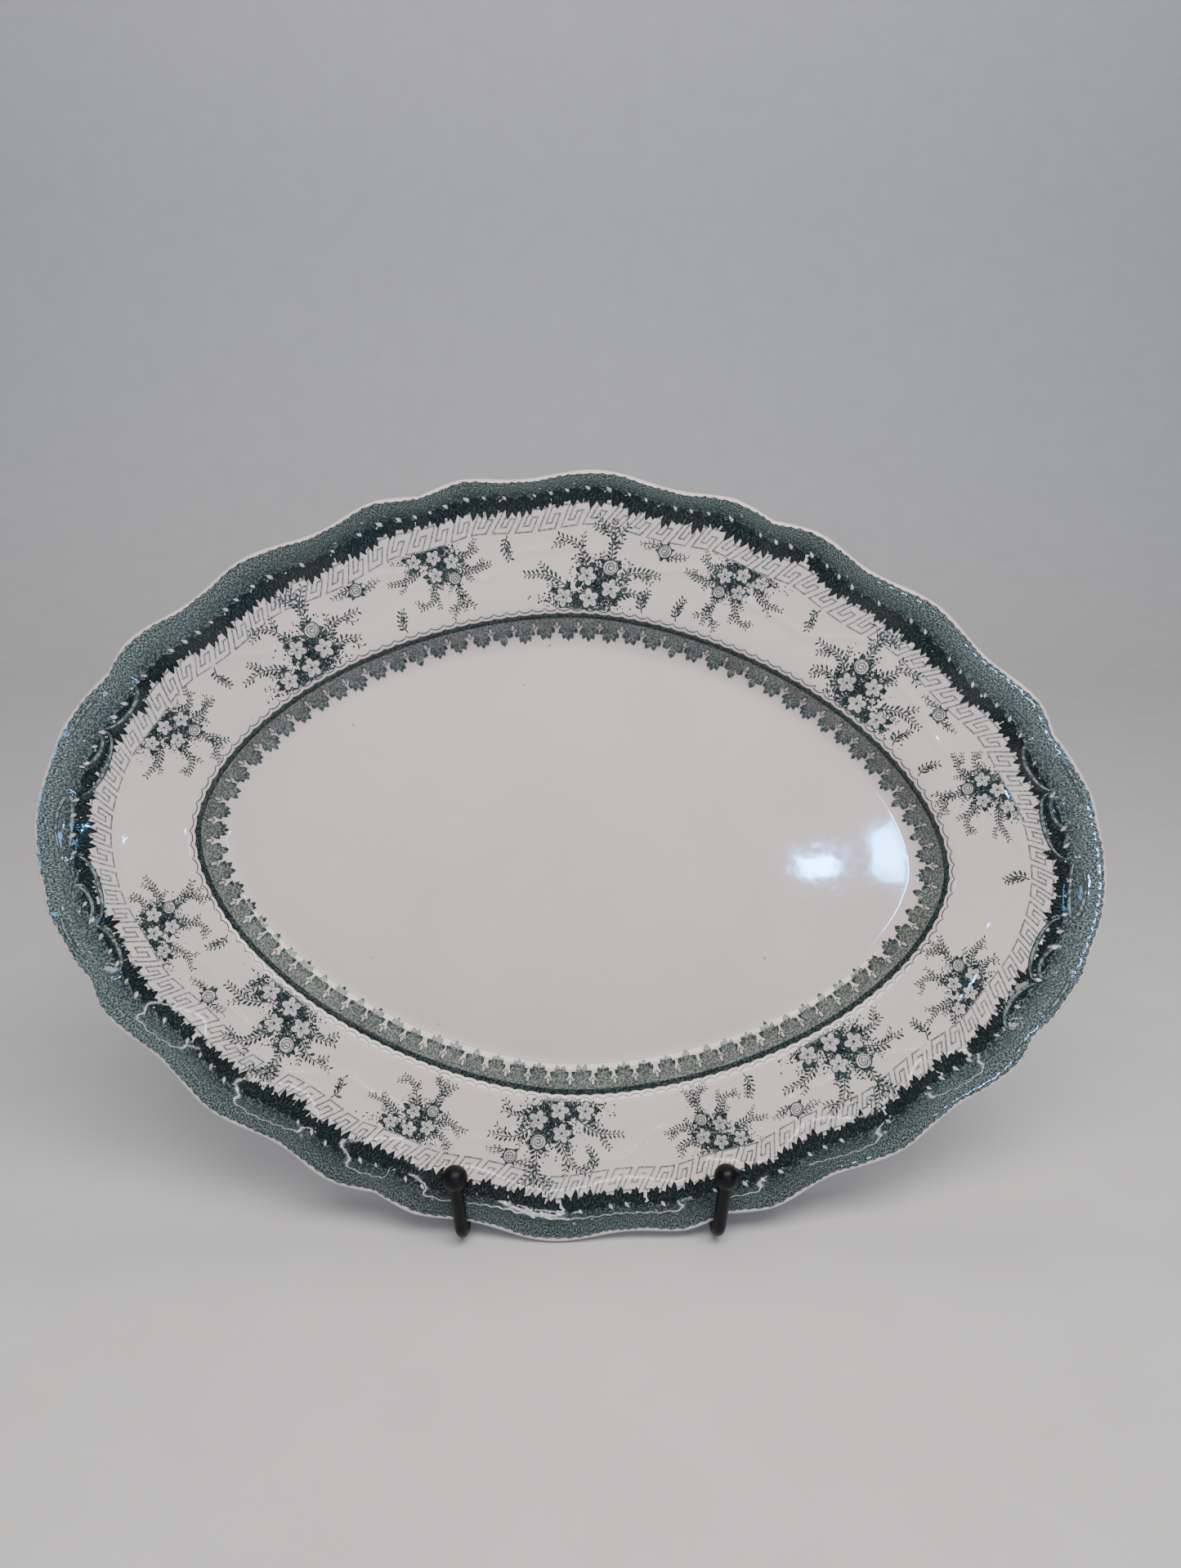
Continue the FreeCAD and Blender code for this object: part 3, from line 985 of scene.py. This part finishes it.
def draw_flowers():
    """Every spray, bud and sprig on the flange."""
    for index, angle in enumerate(SPRAYS_ON_LINE):
        flip = 1 if index % 2 else -1
        draw_spray(Spot(WELL, WELL.at_angle(angle), SPRAY_PLACE, True, LINE_SPRAY_SIZE, flip))
    for index, angle in enumerate(SPRAYS_ON_KEY):
        flip = 1 if index % 2 else -1
        draw_spray(Spot(PRINT, PRINT.at_angle(angle), KEY_INNER + 0.4, False, KEY_SPRAY_SIZE, flip))
    for angle in ROSEBUDS:
        draw_rosebud(Spot(PRINT, PRINT.at_angle(angle), KEY_INNER + 3.0, False))
    for angle in SPRIGS_ON_KEY:
        draw_sprig(Spot(PRINT, PRINT.at_angle(angle), KEY_INNER, False))
    for angle in SPRIGS_ON_LINE:
        draw_sprig(Spot(WELL, WELL.at_angle(angle), SPRIG_PLACE, True))


# ---------------------------------------------------------------- materials

def add_node(tree, kind, inputs=None, **settings):
    """Node with settings, its inputs given as values or as sockets to link."""
    made = tree.nodes.new(kind)
    for key, value in settings.items():
        setattr(made, key, value)
    for key, value in (inputs or {}).items():
        if isinstance(value, bpy.types.NodeSocket):
            tree.links.new(value, made.inputs[key])
        else:
            made.inputs[key].default_value = value
    return made


def new_material(name):
    """Empty material, its tree and the piece's own coordinates, which move with the piece."""
    made = bpy.data.materials.new(name)
    made.use_nodes = True
    tree = made.node_tree
    tree.nodes.clear()
    return made, tree, add_node(tree, "ShaderNodeTexCoord").outputs["Object"]


def ramp(tree, factor, stops):
    """Colour ramp with stops of place and linear colour."""
    made = add_node(tree, "ShaderNodeValToRGB", {"Fac": factor})
    elements = made.color_ramp.elements
    for element, (place, colour) in zip(elements, (stops[0], stops[-1])):
        element.position = place
        element.color = (*colour, 1)
    for place, colour in stops[1:-1]:
        elements.new(place).color = (*colour, 1)
    return made.outputs["Color"]


def mix(tree, factor, first, second, kind="MIX"):
    """Colour mixed from two others."""
    inputs = {0: factor, 6: first, 7: second}
    return add_node(tree, "ShaderNodeMix", inputs, data_type="RGBA", blend_type=kind).outputs[2]


def bump(tree, height, strength, distance, under=None):
    """Normal of a surface raised by a height, over another bump where one is given."""
    inputs = {"Height": height, "Strength": strength, "Distance": distance}
    if under is not None:
        inputs["Normal"] = under
    return add_node(tree, "ShaderNodeBump", inputs).outputs["Normal"]


def finish_material(tree, inputs):
    """Principled surface with the given inputs, linked to the output."""
    shader = add_node(tree, "ShaderNodeBsdfPrincipled", inputs)
    output = add_node(tree, "ShaderNodeOutputMaterial")
    tree.links.new(shader.outputs["BSDF"], output.inputs["Surface"])


def noise(tree, coordinates, scale, detail):
    """Smooth noise between nought and one, its scale per unit of the coordinates."""
    inputs = {"Vector": coordinates, "Scale": scale, "Detail": detail}
    return add_node(tree, "ShaderNodeTexNoise", inputs).outputs["Fac"]


def grey_ramp(tree, factor, *stops):
    """Ramp between two stops of place and grey value."""
    return ramp(tree, factor, [(place, (value,) * 3) for place, value in stops])


GLAZE_WARM = (0.72, 0.584, 0.522)
GLAZE_COOL = (0.675, 0.553, 0.5)


def glaze_colour(tree, coordinates):
    """Warm white with faint clouding and a few tiny dark specks."""
    cloud = noise(tree, coordinates, 22.0, 4.0)
    colour = ramp(tree, cloud, ((0.35, GLAZE_COOL), (0.65, GLAZE_WARM)))
    specks = add_node(tree, "ShaderNodeTexVoronoi", {"Vector": coordinates, "Scale": 62.0})
    speck = grey_ramp(tree, specks.outputs["Distance"], (0.02, 0.45), (0.035, 1.0))
    return mix(tree, 1.0, colour, speck, "MULTIPLY")


def glaze_shader(tree, colour, coordinates):
    """Glossy rippled glaze over a colour."""
    ripple = noise(tree, coordinates, 55.0, 2.0)
    fine = noise(tree, coordinates, 420.0, 2.0)
    waves = bump(tree, ripple, 0.14, 0.0004)
    grain = bump(tree, fine, 0.15, 0.00003, waves)
    wear = grey_ramp(tree, fine, (0.3, 0.035), (0.7, 0.06))
    finish_material(tree, {"Base Color": colour, "Roughness": wear, "Normal": grain, "IOR": 1.5})


def china_material():
    """Plain glazed china."""
    made, tree, coordinates = new_material("china_glaze")
    glaze_shader(tree, glaze_colour(tree, coordinates), coordinates)
    return made


# Half the step of the noise over which dark ink turns light.
BLEND = 0.07


def print_material(name, dark, light, grain, cover):
    """Stippled ink under the glaze: a greater cover prints more of it dark."""
    made, tree, coordinates = new_material(name)
    stipple = noise(tree, coordinates, grain, 1.0)
    uneven = noise(tree, coordinates, 60.0, 3.0)
    shade = grey_ramp(tree, uneven, (0.3, 0.82), (0.7, 1.12))
    ink = ramp(tree, stipple, ((cover - BLEND, dark), (cover + BLEND, light)))
    glaze_shader(tree, mix(tree, 1.0, ink, shade, "MULTIPLY"), coordinates)
    return made


HATCH_INKS = ((0.38, (0.010, 0.021, 0.021)), (0.5, (0.055, 0.074, 0.071)), (0.63, (0.2, 0.225, 0.215)))
DOT_INKS = ((0.25, (0.004, 0.010, 0.011)), (0.5, (0.02, 0.031, 0.031)), (0.75, (0.09, 0.11, 0.106)))


def map_range(tree, value, start, end, low=0.0, high=1.0):
    """Value carried from one span to another, and held at its ends."""
    inputs = {"Value": value, "From Min": start, "From Max": end, "To Min": low, "To Max": high}
    return add_node(tree, "ShaderNodeMapRange", inputs).outputs["Result"]


def band_material():
    """Green band: hatched near the lip, dense dark dots towards the leaves, paler at the ends."""
    made, tree, coordinates = new_material("print_band_green")
    strip = add_node(tree, "ShaderNodeAttribute", attribute_name="strip").outputs["Vector"]
    hatch_space = add_node(
        tree, "ShaderNodeVectorMath", {0: strip, 1: (1.5, 0.7, 1.0)}, operation="MULTIPLY"
    ).outputs[0]
    hatch = noise(tree, hatch_space, 1.7, 2.0)
    dots = add_node(tree, "ShaderNodeTexVoronoi", {"Vector": strip, "Scale": 1.5})
    inward = add_node(tree, "ShaderNodeSeparateXYZ", {"Vector": strip}).outputs["Y"]
    depth = map_range(tree, inward, 3.0, 14.0)
    hatched = ramp(tree, hatch, HATCH_INKS)
    dotted = ramp(tree, dots.outputs["Distance"], DOT_INKS)
    deep = grey_ramp(tree, depth, (0.25, 0.0), (0.85, 1.0))
    sideways = add_node(tree, "ShaderNodeSeparateXYZ", {"Vector": coordinates}).outputs["X"]
    reach = add_node(tree, "ShaderNodeMath", {0: sideways}, operation="ABSOLUTE").outputs[0]
    ends = map_range(tree, reach, 0.08, 0.17, 0.82, 1.5)
    ink = mix(tree, deep, hatched, dotted)
    glaze_shader(tree, mix(tree, 1.0, ink, ends, "MULTIPLY"), coordinates)
    return made


def powder_coat_material():
    """Satin black powder coat with a fine orange-peel surface."""
    made, tree, coordinates = new_material("black_powder_coat")
    peel = noise(tree, coordinates, 1500.0, 2.0)
    patches = noise(tree, coordinates, 90.0, 3.0)
    blacks = ((0.3, (0.003, 0.003, 0.0035)), (0.7, (0.006, 0.006, 0.0065)))
    colour = ramp(tree, patches, blacks)
    gloss = grey_ramp(tree, patches, (0.3, 0.32), (0.7, 0.44))
    rough = bump(tree, peel, 0.3, 0.00012)
    surface = {"Base Color": colour, "Roughness": gloss, "Normal": rough, "Specular IOR Level": 0.2}
    finish_material(tree, surface)
    return made


# ---------------------------------------------------------------- building the object

# Dark ink, light ink, grain per metre and the noise level that parts dark from light.
PRINT_COLOURS = {
    "print_spray_ground": ((0.01, 0.021, 0.02), (0.06, 0.08, 0.076), 1500.0, 0.55),
    "print_well_fringe": ((0.07, 0.086, 0.077), (0.225, 0.24, 0.216), 1500.0, 0.52),
    "print_fringe_edges": ((0.015, 0.028, 0.027), (0.07, 0.09, 0.085), 1500.0, 0.5),
    "print_rim_leaves": ((0.003, 0.008, 0.009), (0.016, 0.026, 0.026), 1500.0, 0.55),
    "print_key": ((0.13, 0.15, 0.14), (0.29, 0.31, 0.295), 1200.0, 0.5),
    "print_well_line": ((0.007, 0.015, 0.015), (0.05, 0.07, 0.067), 1500.0, 0.54),
    "print_twigs": ((0.014, 0.028, 0.026), (0.075, 0.097, 0.09), 1500.0, 0.53),
    "print_outlines": ((0.014, 0.026, 0.025), (0.06, 0.08, 0.075), 1500.0, 0.5),
    "print_whites": ((0.37, 0.345, 0.315), (0.59, 0.52, 0.475), 900.0, 0.44),
    "print_pale_scrolls": ((0.07, 0.09, 0.086), (0.26, 0.28, 0.27), 900.0, 0.5),
    "print_details": ((0.02, 0.034, 0.032), (0.08, 0.1, 0.095), 1500.0, 0.5),
}


def draw_print():
    """Gathers every printed shape."""
    draw_band()
    draw_rim_fringe()
    draw_key()
    draw_cartouches()
    draw_well_line()
    draw_well_fringe()
    draw_flowers()


def build_platter():
    """China body and its print, riding on the platter's body."""
    china = make_china()
    china.data.materials.append(china_material())
    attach(china, "platter")
    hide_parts("platter")
    draw_print()
    for sheet in SHEETS:
        piece = sheet.make()
        if sheet is BAND:
            piece.data.materials.append(band_material())
        else:
            piece.data.materials.append(print_material(sheet.name, *PRINT_COLOURS[sheet.name]))
        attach(piece, "platter")


def finish_stand():
    """Powder coat on every piece of the wire stand."""
    coat = powder_coat_material()
    for name, item in frame["nodes"].items():
        if name == "platter":
            continue
        item.data.materials.clear()
        item.data.materials.append(coat)
        item.data.shade_smooth()


# ---------------------------------------------------------------- studio

FLOOR_FRONT = -1.6
FLOOR_BACK = 0.9
FLOOR_HALF_WIDTH = 3.0
SWEEP_RADIUS = 0.6
BACKDROP_TOP = 2.6


def build_studio():
    """Pale seamless floor and backdrop."""
    profile = [(FLOOR_FRONT, 0.0), (FLOOR_BACK, 0.0)]
    for turn in np.linspace(0, np.pi / 2, 13)[1:]:
        run = SWEEP_RADIUS * math.sin(turn)
        rise = SWEEP_RADIUS - SWEEP_RADIUS * math.cos(turn)
        profile.append((FLOOR_BACK + run, rise))
    profile.append((FLOOR_BACK + SWEEP_RADIUS, BACKDROP_TOP))
    points = []
    for y, z in profile:
        points += [(-FLOOR_HALF_WIDTH, y, z), (FLOOR_HALF_WIDTH, y, z)]
    faces = [(2 * row, 2 * row + 1, 2 * row + 3, 2 * row + 2) for row in range(len(profile) - 1)]
    floor = new_object("studio_floor", points, faces)
    made, tree, coordinates = new_material("studio_paper")
    grain = noise(tree, coordinates, 30.0, 4.0)
    colour = ramp(tree, grain, ((0.3, (0.6, 0.59, 0.575)), (0.7, (0.63, 0.62, 0.605))))
    finish_material(tree, {"Base Color": colour, "Roughness": 0.75})
    floor.data.materials.append(made)


# What bearings are measured from, and what most lights are aimed at.
MIDDLE = (0.0, 0.0, 0.12)


def add_area_light(name, place, size, watts, colour, target=MIDDLE):
    """Oblong light aimed at a target."""
    light = bpy.data.lights.new(name, "AREA")
    light.shape = "RECTANGLE"
    light.size, light.size_y = size
    light.energy = watts
    light.color = colour
    made = bpy.data.objects.new(name, light)
    made.location = place
    made.rotation_euler = (Vector(target) - Vector(place)).to_track_quat("-Z", "Y").to_euler()
    bpy.context.collection.objects.link(made)


def bearing(azimuth, elevation, distance):
    """Point in front of the platter, by degrees right of square-on and above level."""
    level = distance * math.cos(math.radians(elevation))
    side = level * math.sin(math.radians(azimuth))
    front = -level * math.cos(math.radians(azimuth))
    return (side, front, MIDDLE[2] + distance * math.sin(math.radians(elevation)))


def build_lights():
    """Soft key from above, low cool window panes and a high strip that the glaze mirrors."""
    cool = (0.14, 0.45, 1.0)
    add_area_light("key", bearing(14, 53, 0.7), (0.7, 0.34), 6.5, (1.0, 0.965, 0.93))
    add_area_light("left_pane", bearing(13.6, 9.9, 3.0), (0.12, 0.05), 7.0, cool)
    add_area_light("right_pane", bearing(17.3, 10.3, 3.0), (0.08, 0.12), 7.0, cool)
    add_area_light("far_right_window", bearing(27, 15, 3.0), (0.25, 0.35), 6.0, cool)
    add_area_light("far_left_window", bearing(-27, 13, 3.0), (0.3, 0.35), 5.0, cool)
    add_area_light("high_strip", bearing(3, 33, 3.0), (1.0, 0.026), 2.0, (1.0, 0.98, 0.96))
    add_area_light("backdrop", (0.0, 0.5, 1.7), (2.0, 0.4), 12.0, (1.0, 0.97, 0.94), (0.0, 1.5, 0.7))
    world = bpy.data.worlds.new("studio_air")
    world.use_nodes = True
    background = world.node_tree.nodes["Background"]
    background.inputs["Color"].default_value = (1.0, 0.97, 0.96, 1)
    background.inputs["Strength"].default_value = 0.23
    bpy.context.scene.world = world


# Camera: its turn from square-on in degrees, the platter's place before it in millimetres, and
# its lens in millimetres.
CAMERA_TURN = (0.89, 0.85)
CAMERA_OFFSET = (-5.38, -24.26, -384.4)
CAMERA_LENS = 26.64
RIM_PLANE_HEIGHT = 20.2


def build_camera():
    """Camera nearly square to the leaning platter."""
    floor_centre, normal = well_floor()
    up = -Vector((0, 0, 1)).cross(normal).cross(normal).normalized()
    across = up.cross(normal).normalized()
    basis = Matrix((across, up, normal)).transposed()
    tilt = Matrix.Rotation(math.radians(CAMERA_TURN[0]), 3, "X")
    pan = Matrix.Rotation(math.radians(CAMERA_TURN[1]), 3, "Y")
    turn = basis @ (tilt @ pan).transposed()
    centre = floor_centre + normal * RIM_PLANE_HEIGHT * MM
    place = centre - turn @ (Vector(CAMERA_OFFSET) * MM)
    camera = bpy.data.cameras.new("camera")
    camera.lens = CAMERA_LENS
    camera.sensor_width = 36.0
    camera.clip_start = 0.01
    made = bpy.data.objects.new("camera", camera)
    made.matrix_world = Matrix.Translation(place) @ turn.to_4x4()
    bpy.context.collection.objects.link(made)
    bpy.context.scene.camera = made


build_camera()
build_platter()
finish_stand()
build_studio()
build_lights()
